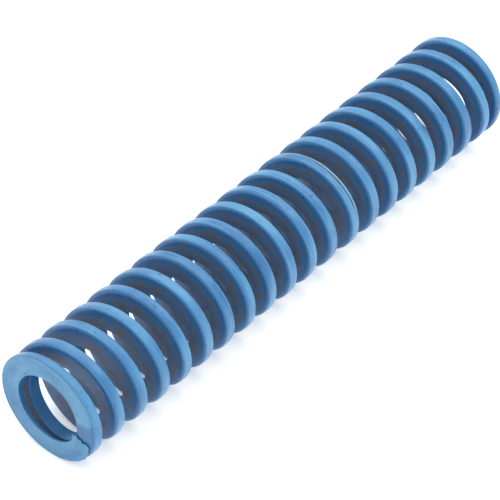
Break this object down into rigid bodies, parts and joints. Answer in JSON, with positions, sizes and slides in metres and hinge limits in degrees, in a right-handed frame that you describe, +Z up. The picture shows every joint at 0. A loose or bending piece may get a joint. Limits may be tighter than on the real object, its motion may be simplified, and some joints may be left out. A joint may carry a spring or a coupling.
{
  "type": "coil spring",
  "caption": "Long right-hand compression spring of flat blue-enamelled wire, with closed ground ends, lying on its side; it goes over a guide rod and presses two plates apart.",
  "frame": {"origin": "on the ground under mid-length, the centre of the bottom of the bounding box", "axes": "+X along the spring's axis from the front end ring to the rear one, +Z up from the ground it lies on"},
  "size_m": [0.12, 0.022, 0.022],
  "materials": {
    "enamel": "glossy baked blue enamel over drawn spring steel, thin towards the bore",
    "ground_enamel": "satin blue enamel, matt over the ground end face"
  },
  "bodies": {
    "front_end_ring": {"front_end_ring": "ground_enamel"},
    "coil_01": {"coil_01": "enamel"},
    "coil_02": {"coil_02": "enamel"},
    "coil_03": {"coil_03": "enamel"},
    "coil_04": {"coil_04": "enamel"},
    "coil_05": {"coil_05": "enamel"},
    "coil_06": {"coil_06": "enamel"},
    "coil_07": {"coil_07": "enamel"},
    "coil_08": {"coil_08": "enamel"},
    "coil_09": {"coil_09": "enamel"},
    "coil_10": {"coil_10": "enamel"},
    "coil_11": {"coil_11": "enamel"},
    "coil_12": {"coil_12": "enamel"},
    "coil_13": {"coil_13": "enamel"},
    "coil_14": {"coil_14": "enamel"},
    "coil_15": {"coil_15": "enamel"},
    "coil_16": {"coil_16": "enamel"},
    "coil_17": {"coil_17": "enamel"},
    "coil_18": {"coil_18": "enamel"},
    "rear_end_ring": {"rear_end_ring": "ground_enamel"}
  },
  "joints": [
    {"name": "gap_01_slide", "type": "slide", "parent": "front_end_ring", "child": "coil_01", "axis": [-1, 0, 0], "range_m": [0, 0.0024], "stiffness_N_per_m": 200},
    {"name": "gap_02_slide", "type": "slide", "parent": "coil_01", "child": "coil_02", "axis": [-1, 0, 0], "range_m": [0, 0.0024], "stiffness_N_per_m": 200},
    {"name": "gap_03_slide", "type": "slide", "parent": "coil_02", "child": "coil_03", "axis": [-1, 0, 0], "range_m": [0, 0.0024], "stiffness_N_per_m": 200},
    {"name": "gap_04_slide", "type": "slide", "parent": "coil_03", "child": "coil_04", "axis": [-1, 0, 0], "range_m": [0, 0.0024], "stiffness_N_per_m": 200},
    {"name": "gap_05_slide", "type": "slide", "parent": "coil_04", "child": "coil_05", "axis": [-1, 0, 0], "range_m": [0, 0.0024], "stiffness_N_per_m": 200},
    {"name": "gap_06_slide", "type": "slide", "parent": "coil_05", "child": "coil_06", "axis": [-1, 0, 0], "range_m": [0, 0.0024], "stiffness_N_per_m": 200},
    {"name": "gap_07_slide", "type": "slide", "parent": "coil_06", "child": "coil_07", "axis": [-1, 0, 0], "range_m": [0, 0.0024], "stiffness_N_per_m": 200},
    {"name": "gap_08_slide", "type": "slide", "parent": "coil_07", "child": "coil_08", "axis": [-1, 0, 0], "range_m": [0, 0.0024], "stiffness_N_per_m": 200},
    {"name": "gap_09_slide", "type": "slide", "parent": "coil_08", "child": "coil_09", "axis": [-1, 0, 0], "range_m": [0, 0.0024], "stiffness_N_per_m": 200},
    {"name": "gap_10_slide", "type": "slide", "parent": "coil_09", "child": "coil_10", "axis": [-1, 0, 0], "range_m": [0, 0.0024], "stiffness_N_per_m": 200},
    {"name": "gap_11_slide", "type": "slide", "parent": "coil_10", "child": "coil_11", "axis": [-1, 0, 0], "range_m": [0, 0.0024], "stiffness_N_per_m": 200},
    {"name": "gap_12_slide", "type": "slide", "parent": "coil_11", "child": "coil_12", "axis": [-1, 0, 0], "range_m": [0, 0.0024], "stiffness_N_per_m": 200},
    {"name": "gap_13_slide", "type": "slide", "parent": "coil_12", "child": "coil_13", "axis": [-1, 0, 0], "range_m": [0, 0.0024], "stiffness_N_per_m": 200},
    {"name": "gap_14_slide", "type": "slide", "parent": "coil_13", "child": "coil_14", "axis": [-1, 0, 0], "range_m": [0, 0.0024], "stiffness_N_per_m": 200},
    {"name": "gap_15_slide", "type": "slide", "parent": "coil_14", "child": "coil_15", "axis": [-1, 0, 0], "range_m": [0, 0.0024], "stiffness_N_per_m": 200},
    {"name": "gap_16_slide", "type": "slide", "parent": "coil_15", "child": "coil_16", "axis": [-1, 0, 0], "range_m": [0, 0.0024], "stiffness_N_per_m": 200},
    {"name": "gap_17_slide", "type": "slide", "parent": "coil_16", "child": "coil_17", "axis": [-1, 0, 0], "range_m": [0, 0.0024], "stiffness_N_per_m": 200},
    {"name": "gap_18_slide", "type": "slide", "parent": "coil_17", "child": "coil_18", "axis": [-1, 0, 0], "range_m": [0, 0.0024], "stiffness_N_per_m": 200},
    {"name": "gap_19_slide", "type": "slide", "parent": "coil_18", "child": "rear_end_ring", "axis": [-1, 0, 0], "range_m": [0, 0.0024], "stiffness_N_per_m": 200}
  ],
  "couplings": [
    {"joint": "gap_02_slide", "follows": "gap_01_slide", "ratio": 1},
    {"joint": "gap_03_slide", "follows": "gap_01_slide", "ratio": 1},
    {"joint": "gap_04_slide", "follows": "gap_01_slide", "ratio": 1},
    {"joint": "gap_05_slide", "follows": "gap_01_slide", "ratio": 1},
    {"joint": "gap_06_slide", "follows": "gap_01_slide", "ratio": 1},
    {"joint": "gap_07_slide", "follows": "gap_01_slide", "ratio": 1},
    {"joint": "gap_08_slide", "follows": "gap_01_slide", "ratio": 1},
    {"joint": "gap_09_slide", "follows": "gap_01_slide", "ratio": 1},
    {"joint": "gap_10_slide", "follows": "gap_01_slide", "ratio": 1},
    {"joint": "gap_11_slide", "follows": "gap_01_slide", "ratio": 1},
    {"joint": "gap_12_slide", "follows": "gap_01_slide", "ratio": 1},
    {"joint": "gap_13_slide", "follows": "gap_01_slide", "ratio": 1},
    {"joint": "gap_14_slide", "follows": "gap_01_slide", "ratio": 1},
    {"joint": "gap_15_slide", "follows": "gap_01_slide", "ratio": 1},
    {"joint": "gap_16_slide", "follows": "gap_01_slide", "ratio": 1},
    {"joint": "gap_17_slide", "follows": "gap_01_slide", "ratio": 1},
    {"joint": "gap_18_slide", "follows": "gap_01_slide", "ratio": 1},
    {"joint": "gap_19_slide", "follows": "gap_01_slide", "ratio": 1}
  ]
}
